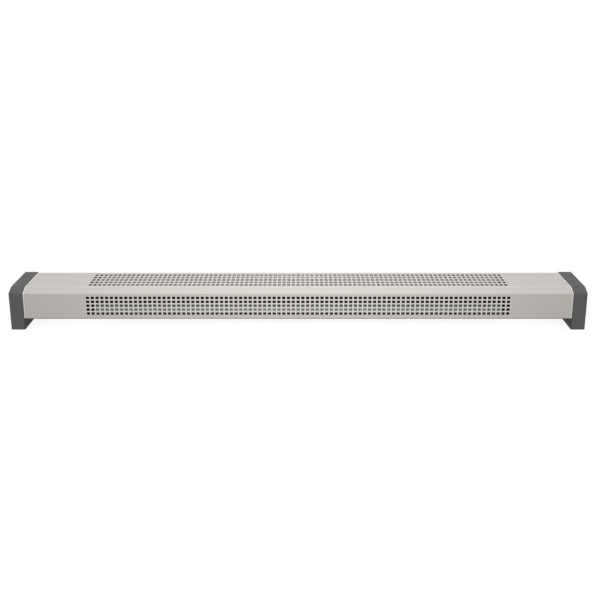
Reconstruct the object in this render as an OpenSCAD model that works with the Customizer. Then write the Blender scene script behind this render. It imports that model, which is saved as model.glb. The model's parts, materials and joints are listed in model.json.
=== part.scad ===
/* [Overall] */
// Length of the folded casing between the end caps
casing_l = 1150; // [900:10:1400]
// Width of an end cap along the heater
cap_w = 29; // [22:1:40]
// Depth of an end cap from front to back
cap_d = 81.5; // [68:0.5:98]
// Height of an end cap from its lower edge to its top
cap_h = 91.5; // [76:0.5:110]
// Depth of the sloped front edge
slope_run = 13; // [9:0.5:18]
// Height of the sloped front edge
slope_rise = 9; // [6:0.5:14]
// Height of the casing's lower edge above the floor
floor_gap = 25; // [18:0.5:28]

/* [Sheet metal] */
// Thickness of the folded sheets
sheet_t = 1; // [0.8:0.1:1.2]
// Outer radius of a fold
fold_r = 1.8; // [1.6:0.1:3]
// Width of the lips under the casing
lip_w = 12; // [10:1:15]
// Height of the lip at the back of the casing
back_lip = 8; // [6:0.5:10]
// How far the end caps stand proud of the casing at the front and top
cap_proud = 1; // [0.5:0.1:2]
// How far the casing stays short of the end caps at the back
back_gap = 2; // [2:0.1:4]

/* [Grille] */
// Width of a hole along the heater
hole_w = 7; // [5:0.5:8]
// Height of a hole in the front
hole_h = 6; // [4:0.5:7]
// Depth of a hole in the top
hole_d = 7; // [5:0.5:8]
// Distance between columns
pitch_x = 10; // [9:0.5:12]
// Distance between the front rows
pitch_front = 8.8; // [8:0.1:10]
// Distance between the top rows
pitch_top = 11; // [9:0.1:12]
// Number of rows in the front and in the top
rows = 5; // [3:1:5]
// From the casing's end to the middle of the first column
plain_end = 135; // [130:1:200]
// From the slope down to the middle of the highest front row
front_margin = 9.6; // [7:0.1:11]
// From the slope back to the middle of the first top row
top_margin = 8.6; // [7:0.1:11]

/* [End caps] */
// Wall of an end cap
cap_wall = 3; // [2.4:0.1:3.5]
// Radius on the outline of an end cap
cap_round = 1.5; // [1:0.1:2.5]
// How far the spigot of an end cap enters the casing
spigot_l = 8; // [6:1:12]
// Wall of the spigot
spigot_t = 2; // [1.5:0.1:2.5]
// Diameter of a foot pad
pad_d = 12; // [10:0.5:14]
// How far a foot pad stands below the end cap
pad_proud = 1; // [0.5:0.1:1.5]

/* [Heating element] */
// Clear air between the element and the tray or the top
air_z = 6.5; // [5:0.5:10]
// Clear air between the element and the front or the heat shield
air_y = 7; // [5:0.5:10]
// Thickness of an arm of the element
arm_t = 2.4; // [2:0.1:3]
// Diameter of the element's hub
hub_d = 16; // [14:0.5:18]
// Outer diameter of the sheath tube
sheath_d = 8; // [7:0.1:9]
// Distance of the heat shield from the back panel
shield_gap = 8.5; // [8:0.1:12]

/* [Interfaces] */
// Diameter of a wall fixing hole
wall_hole_d = 5.5; // [4.5:0.1:6.5]
// Distance between the wall fixing holes
wall_hole_span = 1020; // [1000:1:1060]
// Bore of the cord gland
gland_bore_d = 8; // [6:0.5:9]

/* [Hidden] */
$fn = 48;

// overrun of every cut, and the clearances between pieces
cut = 1;
gap = 0.3;
bore_gap = 0.1;
tray_gap = 0.9;
fold_steps = 4;

// the casing's faces, from the end caps
half_l = casing_l / 2;
cap_z = pad_proud;
cap_top = cap_z + cap_h;
front_y = -cap_d / 2;
back_y = cap_d / 2;
case_front = front_y + cap_proud;
case_back = back_y - back_gap;
case_top = cap_top - cap_proud;
case_low = floor_gap;
slope_z = case_top - slope_rise;
slope_y = case_front + slope_run;
slope_angle = atan(slope_rise / slope_run);

// the clear space inside, between front, back panel, tray and top
in_front = case_front + sheet_t;
in_back = case_back - 2 * sheet_t;
in_top = case_top - sheet_t;
in_low = case_low + 2 * sheet_t;
panel_back = in_back + sheet_t;

// grille
columns = floor((casing_l - 2 * plain_end) / pitch_x) + 1;
grille_half = (columns - 1) * pitch_x / 2;
// rows that fit between the slope and the fold under the front, and between the slope and the back
fold_clear = fold_r + sheet_t;
front_room = slope_z - front_margin - hole_h / 2 - case_low - fold_clear;
top_room = case_back - slope_y - top_margin - hole_d / 2 - fold_clear;
front_rows = min(rows, floor(front_room / pitch_front) + 1);
top_rows = min(rows, floor(top_room / pitch_top) + 1);

// partitions stand just past the last column, end plates at the tips of the spigots
partition_gap = 12;
partition_x = grille_half + partition_gap;
bay_x = partition_x + sheet_t;
plate_x = half_l - spigot_l - sheet_t;
foot_l = 9;
foot_w = 14;
mid_y = (in_front + in_back) / 2;

// heat shield
shield_t = 0.6;
shield_y = in_back - shield_gap;
shield_air_top = 6;
shield_air_low = 11;
shield_short = 4;
shield_top = in_top - shield_air_top;
shield_low = in_low + shield_air_low;
shield_tab = 8;
shield_half = grille_half - shield_short;
rivet_d = 3.2;
rivet_head_d = 6;
rivet_head_h = 0.9;
rivet_head_share = 0.8;
rivet_places_share = [-0.9, -0.45, 0, 0.45, 0.9];

// element
element_y = (in_front + shield_y) / 2;
element_z = (in_low + in_top) / 2;
reach = min((in_top - in_low) / 2 - air_z, (shield_y - in_front) / 2 - air_y);
arm_l = reach * sqrt(2);
body_short = 10;
element_half = grille_half - body_short;
rib_t = 1.4;
rib_h = 2;
rib_places_share = [0.52, 0.76, 1];
slot_w = 2;
support_half_w = 12;
sheath_wall = 0.8;
sheath_out = 17;
sheath_half = bay_x + sheath_out;
sheath_bore_d = sheath_d - 2 * sheath_wall;
seal_l = 4;
pin_d = 2.5;
pin_in = 30;
pin_out = 8;
blade_l = 8;
blade_w = 6.3;
blade_t = 0.8;
blade_x = sheath_half + pin_out;
bush_d = 14;
bush_flange_d = 20;
bush_flange_t = 2.5;
bush_out = 3;
clip_t = 1;
clip_d = 13;
clip_slot = 5;

// thermal cut-out on the left partition
cutout_in = 13;
cutout_up = 5;
cutout_y = in_front + cutout_in;
cutout_z = element_z + cutout_up;
cutout_d = 15.5;
cutout_l = 7;
cup_d = 12;
cup_l = 4;
ear_t = 0.8;
ear_w = 9;
ear_reach = 11;
tab_pitch = 10;
tab_x = bay_x + ear_t + cutout_l;

// push-on terminals for 6.3 mm blades
receptacle_l = 8;
receptacle_w = 7.6;
receptacle_h = 3.2;
barrel_l = 6;
barrel_d = 4.4;

// terminal block in the left bay
block_in = 65;
block_x = bay_x + block_in;
block_l = 20;
block_pitch = 11;
block_w = 3 * block_pitch;
block_h = 16;
block_y = -1;
insert_d = 5;
insert_bore_d = 3;
insert_up = 9;
insert_z = in_low + insert_up;
clamp_d = 3;
clamp_l = 6.6;
clamp_places_share = [0.25, 0.75];
block_seat = 12;

// earth bolt
earth_in = 36;
earth_clear = 5;
earth_x = bay_x + earth_in;
earth_y = case_front + lip_w + earth_clear;
earth_d = 4;
earth_nut_d = 8.1;
earth_nut_h = 3;
ring_t = 0.8;
ring_d = 8;
earth_bolt_l = 12;

// gland
gland_in = 98;
gland_x = bay_x + gland_in;
gland_d = 12;
gland_flange_d = 17;
gland_flange_t = 2;
gland_below = 11;
gland_above = 8;
gland_nut_d = 18;
gland_nut_h = 3.5;

// leads
lead_d = 2.6;
lead_sides = 8;
lead_bend_r = 5;
lead_bend_steps = 4;
lead_end = 4;
lead_in = 4.7;
lead_up = 1;
lead_y = in_back - lead_in;
lead_z = element_z + lead_up;
bend_room = 12;
start_normal_share = [0, 0.01, 1];
lead_bore_d = 3;
grommet_d = 9;
grommet_hole_d = 6.4;
grommet_lip = 1.5;
clip_w = 6;
clip_h = 8;
clip_places_share = [-0.66, -0.22, 0.22, 0.66];

// screws: shank, length, head diameter and head height of each size
small_screw = [3.5, 6, 6.5, 1.7];
tiny_screw = [3, 6, 5.4, 1.6];
screw_grip = 3;
recess_d = 9.5;
recess_deep = 3;
cap_screw = [4, cap_w + spigot_l - recess_deep + screw_grip, 7.5, 2.2];
block_screw = [3, block_seat + sheet_t + screw_grip, 5.4, 1.6];
boss_d = 9;
cap_screw_down = 4;
cap_screw_z = (in_low + in_top) / 2 - cap_screw_down;
foot_y = (panel_back - case_front) / 2 - lip_w - tiny_screw[2] / 2 - 2 * gap;
cap_screw_places_share = [-0.25, 0.25];
cross_w = 0.9;
cross_share = 0.55;
cross_deep_share = 0.7;
head_share = 0.8;
lip_screw_places_share = [-0.94, -0.47, 0, 0.47, 0.94];
lip_screw_in = lip_w / 2;
pad_deep = 1.5;
post_wall = 2.5;
post_d = pad_d + 2 * post_wall;
pad_places_share = [-0.31, 0.31];
air_slot_l = 30;
air_slot_w = 8;
air_slot_pitch_x = 40;
air_slot_pitch_y = 15;
air_slot_half = floor((element_half - air_slot_l / 2) / air_slot_pitch_x);

// the supports' screws go between two air slots
support_screw_in = sheet_t + (foot_l - 2 * sheet_t) / 2;
support_share = 0.4;
support_x = (floor(air_slot_half * support_share) + 1 / 2) * air_slot_pitch_x - support_screw_in;

function unit(v) = v / norm(v);

// points of the arc that rounds corner b between a and c
function fillet(a, b, c, r, steps) =
  let (u = unit(a - b), v = unit(c - b), h = acos(u * v) / 2,
       mid = b + unit(u + v) * r / sin(h),
       p = unit(b + u * r / tan(h) - mid), q = unit(b + v * r / tan(h) - mid),
       turn = acos(p * q), side = unit(q - p * (p * q)))
  [for (i = [0:steps]) let (w = turn * i / steps) mid + r * (p * cos(w) + side * sin(w))];

// an open path with its inner corners rounded
function round_path(p, r, steps) = [
  p[0],
  for (i = [1:len(p) - 2]) each fillet(p[i - 1], p[i], p[i + 1], r, steps),
  p[len(p) - 1]
];

// a closed outline with its corners rounded
function round_loop(p, r, steps) =
  let (n = len(p))
  [for (i = [0:n - 1]) each fillet(p[(i + n - 1) % n], p[i], p[(i + 1) % n], r, steps)];

function turned(v, side) = [-v[1] * side, v[0] * side];

// the same path moved by t to one side, where every corner turns to that side
function moved(p, t, side) = [
  p[0] + turned(unit(p[1] - p[0]), side) * t,
  for (i = [1:len(p) - 2])
    let (u = unit(p[i - 1] - p[i]), v = unit(p[i + 1] - p[i]))
    p[i] + unit(u + v) * t / sin(acos(u * v) / 2),
  p[len(p) - 1] + turned(unit(p[len(p) - 1] - p[len(p) - 2]), side) * t
];

function reversed(p) = [for (i = [len(p) - 1:-1:0]) p[i]];

// the section of a sheet folded along an outer path, which turns to one side only
function folded(p, t, side) = concat(
  round_path(p, fold_r, fold_steps),
  reversed(round_path(moved(p, t, side), max(fold_r - t, t / 2), fold_steps))
);

// the section of an end cap, taken in by d all round and with its own lowest edge
function cap_outline(d, low) = [
  [front_y + d, low],
  [front_y + d, cap_top - slope_rise - d * tan(45 - slope_angle / 2)],
  [front_y + slope_run + d * tan(slope_angle / 2), cap_top - d],
  [back_y - d, cap_top - d],
  [back_y - d, low]
];

// the section of the space inside the casing, taken in by d
function inner_outline(d, low) = [
  [in_front + d, low],
  [in_front + d, slope_z - (sheet_t + d) * tan(45 - slope_angle / 2)],
  [slope_y + (sheet_t + d) * tan(slope_angle / 2), in_top - d],
  [in_back - d, in_top - d],
  [in_back - d, low]
];

// extrudes a section drawn in depth and height along the heater, from x0 to x1
module along(x0, x1) {
  translate([x0, 0, 0]) rotate([90, 0, 90]) linear_extrude(x1 - x0) children();
}

// a round bar along the heater
module bar(x0, x1, y, z, d) {
  translate([x0, y, z]) rotate([0, 90, 0]) cylinder(h = x1 - x0, d = d);
}

// a box from its lowest to its highest corner
module block(low, high) {
  translate(low) cube(high - low);
}

module on_left() {
  mirror([1, 0, 0]) children();
}

module on_both() {
  children();
  on_left() children();
}

// a screw with a crossed head: the shank points up from the head's seat at zero
module screw(size) {
  d = size[0];
  head_d = size[2];
  head_h = size[3];
  arm = head_d * cross_share;
  difference() {
    union() {
      translate([0, 0, -head_h]) cylinder(h = head_h / 2, d1 = head_d * head_share, d2 = head_d);
      translate([0, 0, -head_h / 2]) cylinder(h = head_h / 2, d = head_d);
      cylinder(h = size[1], d = d);
    }
    translate([-arm / 2, -cross_w / 2, -head_h - cut]) cube([arm, cross_w, cut + head_h * cross_deep_share]);
    translate([-cross_w / 2, -arm / 2, -head_h - cut]) cube([cross_w, arm, cut + head_h * cross_deep_share]);
  }
}

module casing() {
  path = [
    [case_front + lip_w, case_low],
    [case_front, case_low],
    [case_front, slope_z],
    [slope_y, case_top],
    [case_back, case_top],
    [case_back, case_top - back_lip]
  ];
  color("#c9c4bd")
  difference() {
    along(-half_l, half_l) polygon(folded(path, sheet_t, -1));
    for (column = [0:columns - 1]) {
      x = column * pitch_x - grille_half - hole_w / 2;
      for (row = [0:front_rows - 1])
        translate([x, case_front - cut, slope_z - front_margin - row * pitch_front - hole_h / 2])
          cube([hole_w, sheet_t + 2 * cut, hole_h]);
      for (row = [0:top_rows - 1])
        translate([x, slope_y + top_margin + row * pitch_top - hole_d / 2, in_top - cut])
          cube([hole_w, hole_d, sheet_t + 2 * cut]);
    }
    for (share = lip_screw_places_share) {
      translate([share * half_l, case_front + lip_screw_in, case_low - cut])
        cylinder(h = sheet_t + 2 * cut, d = small_screw[0] + 2 * bore_gap);
      translate([share * half_l, case_back + cut, case_top - back_lip / 2]) rotate([90, 0, 0])
        cylinder(h = sheet_t + 2 * cut, d = small_screw[0] + 2 * bore_gap);
    }
  }
}

module rear_panel() {
  path = [
    [panel_back - lip_w, case_low],
    [panel_back, case_low],
    [panel_back, in_top - fold_r]
  ];
  color("#b9bcbe")
  difference() {
    along(-half_l, half_l) polygon(folded(path, sheet_t, 1));
    for (share = lip_screw_places_share) {
      translate([share * half_l, panel_back - lip_screw_in, case_low - cut])
        cylinder(h = sheet_t + 2 * cut, d = small_screw[0] + 2 * bore_gap);
      translate([share * half_l, panel_back + cut, case_top - back_lip / 2]) rotate([90, 0, 0])
        cylinder(h = sheet_t + 2 * cut, d = small_screw[0] + 2 * bore_gap);
    }
    for (share = rivet_places_share, z = [shield_top - shield_tab / 2, shield_low + shield_tab / 2])
      translate([share * shield_half, panel_back + cut, z]) rotate([90, 0, 0])
        cylinder(h = sheet_t + 2 * cut, d = rivet_d + 2 * bore_gap);
    for (side = [-1, 1])
      translate([side * wall_hole_span / 2, panel_back + cut, element_z]) rotate([90, 0, 0])
        cylinder(h = sheet_t + 2 * cut, d = wall_hole_d);
  }
}

// places of the screws that hold feet on the tray: partitions, end plates and supports
foot_places = [
  for (side = [-1, 1], y = [-foot_y, foot_y]) [side * (bay_x + foot_l / 2), mid_y + y],
  for (side = [-1, 1], y = [-foot_y, foot_y]) [side * (plate_x - foot_l / 2), mid_y + y],
  for (side = [-1, 1]) [side * (support_x + support_screw_in), element_y]
];

module base_tray() {
  color("#b4b7b9")
  difference() {
    block([-half_l + gap, in_front + tray_gap, in_low - sheet_t],
          [half_l - gap, in_back - tray_gap, in_low]);
    for (i = [-air_slot_half:air_slot_half], j = [-1:1])
      translate([i * air_slot_pitch_x - air_slot_l / 2,
                 mid_y + j * air_slot_pitch_y - air_slot_w / 2, in_low - sheet_t - cut])
        cube([air_slot_l, air_slot_w, sheet_t + 2 * cut]);
    for (share = lip_screw_places_share, y = [case_front + lip_screw_in, panel_back - lip_screw_in])
      translate([share * half_l, y, in_low - sheet_t - cut])
        cylinder(h = sheet_t + 2 * cut, d = small_screw[0] + 2 * bore_gap);
    for (place = foot_places)
      translate([place[0], place[1], in_low - sheet_t - cut])
        cylinder(h = sheet_t + 2 * cut, d = tiny_screw[0] + 2 * bore_gap);
    for (y = [-block_pitch / 2, block_pitch / 2])
      translate([-block_x - block_l / 2, block_y + y, in_low - sheet_t - cut])
        cylinder(h = sheet_t + 2 * cut, d = block_screw[0] + 2 * bore_gap);
    translate([-earth_x, earth_y, in_low - sheet_t - cut])
      cylinder(h = sheet_t + 2 * cut, d = earth_d + 2 * bore_gap);
    translate([-gland_x, mid_y, in_low - sheet_t - cut])
      cylinder(h = sheet_t + 2 * cut, d = gland_d + 2 * gap);
  }
}

// the right end cap; the left one is its mirror image
module end_cap() {
  web_top = in_low + gap + spigot_t / 2;
  web_low = web_top - cap_wall;
  screw_ys = [for (share = cap_screw_places_share) mid_y + share * cap_d];
  pad_ys = [for (share = pad_places_share) share * cap_d];
  pad_x = half_l + cap_w / 2;
  color("#5f6061")
  difference() {
    union() {
      difference() {
        along(half_l, half_l + cap_w)
          polygon(round_loop(cap_outline(0, cap_z), cap_round, fold_steps));
        along(half_l - cut, half_l + cap_w - cap_wall) polygon(cap_outline(cap_wall, web_top));
        block([half_l + cap_wall, front_y + cap_wall, cap_z - cut],
              [half_l + cap_w - cap_wall, back_y - cap_wall, web_low]);
      }
      along(half_l - spigot_l, half_l + cap_wall)
        difference() {
          polygon(inner_outline(gap, in_low + gap));
          polygon(inner_outline(gap + spigot_t, in_low + gap + spigot_t));
        }
      for (y = screw_ys)
        bar(half_l - spigot_l, half_l + cap_w - cap_wall / 2, y, cap_screw_z, boss_d);
      for (y = screw_ys)
        bar(half_l + cap_w - recess_deep - cap_wall, half_l + cap_w - cap_wall / 2, y, cap_screw_z,
            recess_d + 2 * cap_wall);
      for (y = pad_ys)
        translate([pad_x, y, cap_z]) cylinder(h = web_top - cap_wall / 2 - cap_z, d = post_d);
    }
    for (y = screw_ys) {
      bar(half_l - spigot_l - cut, half_l + cap_w + cut, y, cap_screw_z, cap_screw[0] + 2 * gap);
      bar(half_l + cap_w - recess_deep, half_l + cap_w + cut, y, cap_screw_z, recess_d);
    }
    for (y = pad_ys)
      translate([pad_x, y, cap_z - cut]) cylinder(h = pad_deep + cut, d = pad_d + 2 * bore_gap);
  }
}

module end_cap_left() {
  on_left() end_cap();
}

module end_cap_right() {
  end_cap();
}

module foot_pads() {
  color("#2b2b2b")
  on_both() for (share = pad_places_share)
    translate([half_l + cap_w / 2, share * cap_d, 0]) cylinder(h = pad_proud + pad_deep, d = pad_d);
}

// a foot of a standing plate, with the hole for its screw
module plate_foot(x0, x1, y) {
  difference() {
    block([x0, y - foot_w / 2, in_low], [x1, y + foot_w / 2, in_low + sheet_t]);
    translate([(x0 + x1) / 2, y, in_low - cut])
      cylinder(h = sheet_t + 2 * cut, d = tiny_screw[0] + 2 * bore_gap);
  }
}

module end_plate() {
  color("#b4b7b9")
  union() {
    difference() {
      along(plate_x, plate_x + sheet_t) polygon(inner_outline(gap, in_low));
      for (share = cap_screw_places_share)
        bar(plate_x - cut, plate_x + sheet_t + cut, mid_y + share * cap_d, cap_screw_z,
            cap_screw[0] + 2 * bore_gap);
    }
    for (y = [-foot_y, foot_y]) plate_foot(plate_x - foot_l, plate_x, mid_y + y);
  }
}

module end_plate_left() {
  on_left() end_plate();
}

module end_plate_right() {
  end_plate();
}

module partition() {
  color("#a9acae")
  union() {
    difference() {
      along(partition_x, bay_x) polygon(inner_outline(gap, in_low));
      bar(partition_x - cut, bay_x + cut, element_y, element_z, bush_d + 2 * bore_gap);
      bar(partition_x - cut, bay_x + cut, lead_y, lead_z, grommet_hole_d);
    }
    for (y = [-foot_y, foot_y]) plate_foot(bay_x, bay_x + foot_l, mid_y + y);
  }
}

module partition_left() {
  color("#a9acae")
  on_left() difference() {
    partition();
    bar(partition_x - cut, bay_x + cut, cutout_y, cutout_z, cup_d + 2 * gap);
    for (z = [-ear_reach, ear_reach])
      bar(partition_x - cut, bay_x + cut, cutout_y, cutout_z + z, tiny_screw[0] + 2 * bore_gap);
  }
}

module partition_right() {
  partition();
}

module heat_shield() {
  path = [
    [in_back, shield_top - shield_tab],
    [in_back, shield_top],
    [shield_y, shield_top],
    [shield_y, shield_low],
    [in_back, shield_low],
    [in_back, shield_low + shield_tab]
  ];
  color("#cfd2d4")
  difference() {
    along(-shield_half, shield_half) polygon(folded(path, shield_t, 1));
    for (share = rivet_places_share, z = [shield_top - shield_tab / 2, shield_low + shield_tab / 2])
      translate([share * shield_half, in_back + cut, z]) rotate([90, 0, 0])
        cylinder(h = shield_t + 2 * cut, d = rivet_d + 2 * bore_gap);
  }
}

module shield_rivets() {
  color("#9fa2a4")
  for (share = rivet_places_share, z = [shield_top - shield_tab / 2, shield_low + shield_tab / 2])
    translate([share * shield_half, panel_back, z]) rotate([90, 0, 0]) {
      translate([0, 0, -rivet_head_h]) cylinder(h = rivet_head_h, d = rivet_head_d);
      cylinder(h = sheet_t + shield_t, d = rivet_d);
      translate([0, 0, sheet_t + shield_t]) cylinder(h = rivet_head_h, d = rivet_head_d * rivet_head_share);
    }
}

// one arm of the element's cross, pointing along +X of the section
module arm_section() {
  translate([0, -arm_t / 2]) square([arm_l, arm_t]);
  for (share = rib_places_share)
    translate([arm_l * share - rib_t, -arm_t / 2 - rib_h]) square([rib_t, arm_t + 2 * rib_h]);
}

module element_body() {
  color("#c4c7c9")
  difference() {
    union() {
      difference() {
        along(-element_half, element_half)
          translate([element_y, element_z])
            for (a = [45, 135, 225, 315]) rotate(a) arm_section();
        on_both()
          block([support_x - slot_w / 2, element_y - reach - arm_t - rib_h,
                 element_z - reach - arm_t - rib_h],
                [support_x + slot_w / 2, element_y + reach + arm_t + rib_h,
                 element_z + reach + arm_t + rib_h]);
      }
      bar(-element_half, element_half, element_y, element_z, hub_d);
    }
    bar(-element_half - cut, element_half + cut, element_y, element_z, sheath_d + 2 * bore_gap);
  }
}

module element_sheath() {
  color("#8d8f90")
  difference() {
    bar(-sheath_half, sheath_half, element_y, element_z, sheath_d);
    bar(-sheath_half - cut, sheath_half + cut, element_y, element_z, sheath_bore_d);
  }
}

module element_core() {
  end = sheath_half - seal_l - gap;
  color("#e8e4da")
  difference() {
    bar(-end, end, element_y, element_z, sheath_bore_d - 2 * bore_gap);
    on_both() bar(end - pin_in, end + cut, element_y, element_z, pin_d + 2 * bore_gap);
  }
}

module element_pins() {
  color("#b8a878")
  on_both() {
    bar(sheath_half - seal_l - pin_in + gap, blade_x + gap, element_y, element_z, pin_d);
    block([blade_x, element_y - blade_w / 2, element_z - blade_t / 2],
          [blade_x + blade_l, element_y + blade_w / 2, element_z + blade_t / 2]);
  }
}

module element_seals() {
  color("#d9d2c4")
  on_both() difference() {
    bar(sheath_half - seal_l, sheath_half, element_y, element_z, sheath_bore_d - 2 * bore_gap);
    bar(sheath_half - seal_l - cut, sheath_half + cut, element_y, element_z, pin_d + 2 * bore_gap);
  }
}

module element_bushes() {
  color("#efece4")
  on_both() difference() {
    union() {
      bar(partition_x - bush_flange_t, partition_x, element_y, element_z, bush_flange_d);
      bar(partition_x - bush_flange_t, bay_x + bush_out, element_y, element_z, bush_d);
    }
    bar(partition_x - bush_flange_t - cut, bay_x + bush_out + cut, element_y, element_z,
        sheath_d + 2 * bore_gap);
  }
}

module element_clip() {
  x0 = bay_x + bush_out + gap;
  color("#6f7274")
  on_left() difference() {
    bar(x0, x0 + clip_t, element_y, element_z, clip_d);
    bar(x0 - cut, x0 + clip_t + cut, element_y, element_z, sheath_d + 2 * bore_gap);
    block([x0 - cut, element_y - clip_slot / 2, element_z],
          [x0 + clip_t + cut, element_y + clip_slot / 2, element_z + clip_d]);
  }
}

module element_supports() {
  color("#b4b7b9")
  on_both() translate([support_x, 0, 0]) {
    difference() {
      block([-sheet_t / 2, element_y - support_half_w, in_low],
            [sheet_t / 2, element_y + support_half_w, element_z]);
      bar(-sheet_t / 2 - cut, sheet_t / 2 + cut, element_y, element_z, hub_d + 2 * gap);
    }
    difference() {
      block([sheet_t / 2, element_y - foot_w / 2, in_low],
            [foot_l, element_y + foot_w / 2, in_low + sheet_t]);
      translate([support_screw_in, element_y, in_low - cut])
        cylinder(h = sheet_t + 2 * cut, d = tiny_screw[0] + 2 * bore_gap);
    }
  }
}

module cutout_body() {
  color("#3b2a20")
  on_left() bar(bay_x + ear_t, bay_x + ear_t + cutout_l, cutout_y, cutout_z, cutout_d);
}

module cutout_cup() {
  color("#c8cacc")
  on_left() difference() {
    union() {
      block([bay_x, cutout_y - ear_w / 2, cutout_z - ear_reach - ear_w / 2],
            [bay_x + ear_t, cutout_y + ear_w / 2, cutout_z + ear_reach + ear_w / 2]);
      bar(bay_x, bay_x + ear_t, cutout_y, cutout_z, cutout_d);
      bar(bay_x - cup_l, bay_x + ear_t, cutout_y, cutout_z, cup_d);
    }
    for (z = [-ear_reach, ear_reach])
      bar(bay_x - cut, bay_x + ear_t + cut, cutout_y, cutout_z + z, tiny_screw[0] + 2 * bore_gap);
  }
}

module cutout_tabs() {
  color("#c9b06a")
  on_left() for (side = [-1, 1]) {
    z = cutout_z + side * tab_pitch / 2;
    block([tab_x, cutout_y - blade_w / 2, z - blade_t / 2],
          [tab_x + blade_l, cutout_y + blade_w / 2, z + blade_t / 2]);
  }
}

module cutout_screws() {
  color("#8f9193")
  on_left() for (z = [-ear_reach, ear_reach])
    translate([bay_x + ear_t, cutout_y, cutout_z + z]) rotate([0, -90, 0]) screw(tiny_screw);
}

// middle height of each pole and the places of its two clamping screws
pole_ys = [for (i = [-1:1]) block_y + i * block_pitch];

module terminal_block() {
  color("#e9e6de")
  on_left() difference() {
    block([block_x, block_y - block_w / 2, in_low],
          [block_x + block_l, block_y + block_w / 2, in_low + block_h]);
    for (y = pole_ys) {
      bar(block_x - cut, block_x + block_l + cut, y, insert_z, insert_d + 2 * bore_gap);
      for (share = clamp_places_share)
        translate([block_x + share * block_l, y, insert_z]) cylinder(h = block_h, d = insert_d);
    }
    for (y = [-block_pitch / 2, block_pitch / 2]) {
      translate([block_x + block_l / 2, block_y + y, in_low - cut])
        cylinder(h = block_h + 2 * cut, d = block_screw[0] + 2 * bore_gap);
      translate([block_x + block_l / 2, block_y + y, in_low + block_seat])
        cylinder(h = block_h, d = block_screw[2] + 2 * bore_gap);
    }
  }
}

module terminal_inserts() {
  color("#c9a54a")
  on_left() for (y = pole_ys) difference() {
    bar(block_x + gap, block_x + block_l - gap, y, insert_z, insert_d);
    bar(block_x - cut, block_x + block_l + cut, y, insert_z, insert_bore_d);
    for (share = clamp_places_share)
      translate([block_x + share * block_l, y, insert_z])
        cylinder(h = insert_d, d = clamp_d + 2 * bore_gap);
  }
}

module terminal_screws() {
  low = lead_d / 2 + bore_gap;
  color("#b5b8ba")
  on_left() for (y = pole_ys, share = clamp_places_share)
    translate([block_x + share * block_l, y, insert_z + low]) difference() {
      cylinder(h = clamp_l - low, d = clamp_d);
      translate([-clamp_d, -cross_w / 2, clamp_l - low - cross_w])
        cube([2 * clamp_d, cross_w, cross_w + cut]);
    }
}

module block_screws() {
  color("#8f9193")
  on_left() for (y = [-block_pitch / 2, block_pitch / 2])
    translate([block_x + block_l / 2, block_y + y, in_low + block_seat]) rotate([180, 0, 0])
      screw(block_screw);
}

module earth_bolt() {
  color("#a8abad")
  on_left() translate([earth_x, earth_y, in_low - sheet_t]) {
    translate([0, 0, -earth_nut_h]) cylinder(h = earth_nut_h, d = earth_nut_d, $fn = 6);
    cylinder(h = sheet_t + earth_bolt_l, d = earth_d);
  }
}

module earth_nuts() {
  color("#b9bcbe")
  on_left() for (z = [in_low + ring_t, in_low + ring_t + earth_nut_h + gap])
    translate([earth_x, earth_y, z]) difference() {
      cylinder(h = earth_nut_h, d = earth_nut_d, $fn = 6);
      translate([0, 0, -cut]) cylinder(h = earth_nut_h + 2 * cut, d = earth_d + 2 * bore_gap);
    }
}

// frames carried along a route without twist
function next_normal(n, t) = unit(n - t * (n * t));
function normals(t, i, n) =
  i == len(t) ? [] : let (m = next_normal(n, t[i])) concat([m], normals(t, i + 1, m));
function tangent(p, i) = unit(p[min(i + 1, len(p) - 1)] - p[max(i - 1, 0)]);

// a round lead swept along a route whose corners are rounded
module lead(route) {
  p = round_path(route, lead_bend_r, lead_bend_steps);
  t = [for (i = [0:len(p) - 1]) tangent(p, i)];
  n = normals(t, 0, start_normal_share);
  s = lead_sides;
  rings = [
    for (i = [0:len(p) - 1], k = [0:s - 1])
      p[i] + lead_d / 2 * (n[i] * cos(360 * k / s) + cross(t[i], n[i]) * sin(360 * k / s))
  ];
  last = (len(p) - 1) * s;
  polyhedron(rings, [
    for (i = [0:len(p) - 2], k = [0:s - 1]) [i * s + k, (i + 1) * s + k, i * s + (k + 1) % s],
    for (i = [0:len(p) - 2], k = [0:s - 1])
      [(i + 1) * s + k, (i + 1) * s + (k + 1) % s, i * s + (k + 1) % s],
    for (k = [1:s - 2]) [0, k, k + 1],
    for (k = [1:s - 2]) [last, last + k + 1, last + k]
  ]);
}

// outer ends of the barrels that the leads enter
tab_barrel_x = tab_x + gap + receptacle_l + barrel_l;
pin_barrel_x = blade_x + gap + receptacle_l + barrel_l;
earth_barrel_x = earth_x + ring_d / 2 + gap + barrel_l;

// the route points below are at the left, mirrored
module live_lead() {
  y0 = pole_ys[1];
  z1 = cutout_z + tab_pitch / 2;
  color("#7a4a2a")
  on_left() lead([
    [block_x + lead_end, y0, insert_z],
    [block_x - bend_room, y0, insert_z],
    [tab_barrel_x + bend_room, (y0 + cutout_y) / 2, (insert_z + z1) / 2],
    [tab_barrel_x + bend_room, cutout_y, z1],
    [tab_barrel_x - lead_end, cutout_y, z1]
  ]);
}

module switched_lead() {
  z0 = cutout_z - tab_pitch / 2;
  out = pin_barrel_x + bend_room;
  color("#7a4a2a")
  on_left() lead([
    [tab_barrel_x - lead_end, cutout_y, z0],
    [out, cutout_y, z0],
    [out, element_y, element_z],
    [pin_barrel_x - lead_end, element_y, element_z]
  ]);
}

module neutral_lead() {
  y0 = pole_ys[2];
  out = pin_barrel_x + bend_room;
  color("#3c6ea5")
  lead([
    [-block_x - lead_end, y0, insert_z],
    [-block_x + bend_room, y0, insert_z],
    [-bay_x - 2 * bend_room, lead_y, lead_z],
    [out, lead_y, lead_z],
    [out, element_y, element_z],
    [pin_barrel_x - lead_end, element_y, element_z]
  ]);
}

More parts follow.
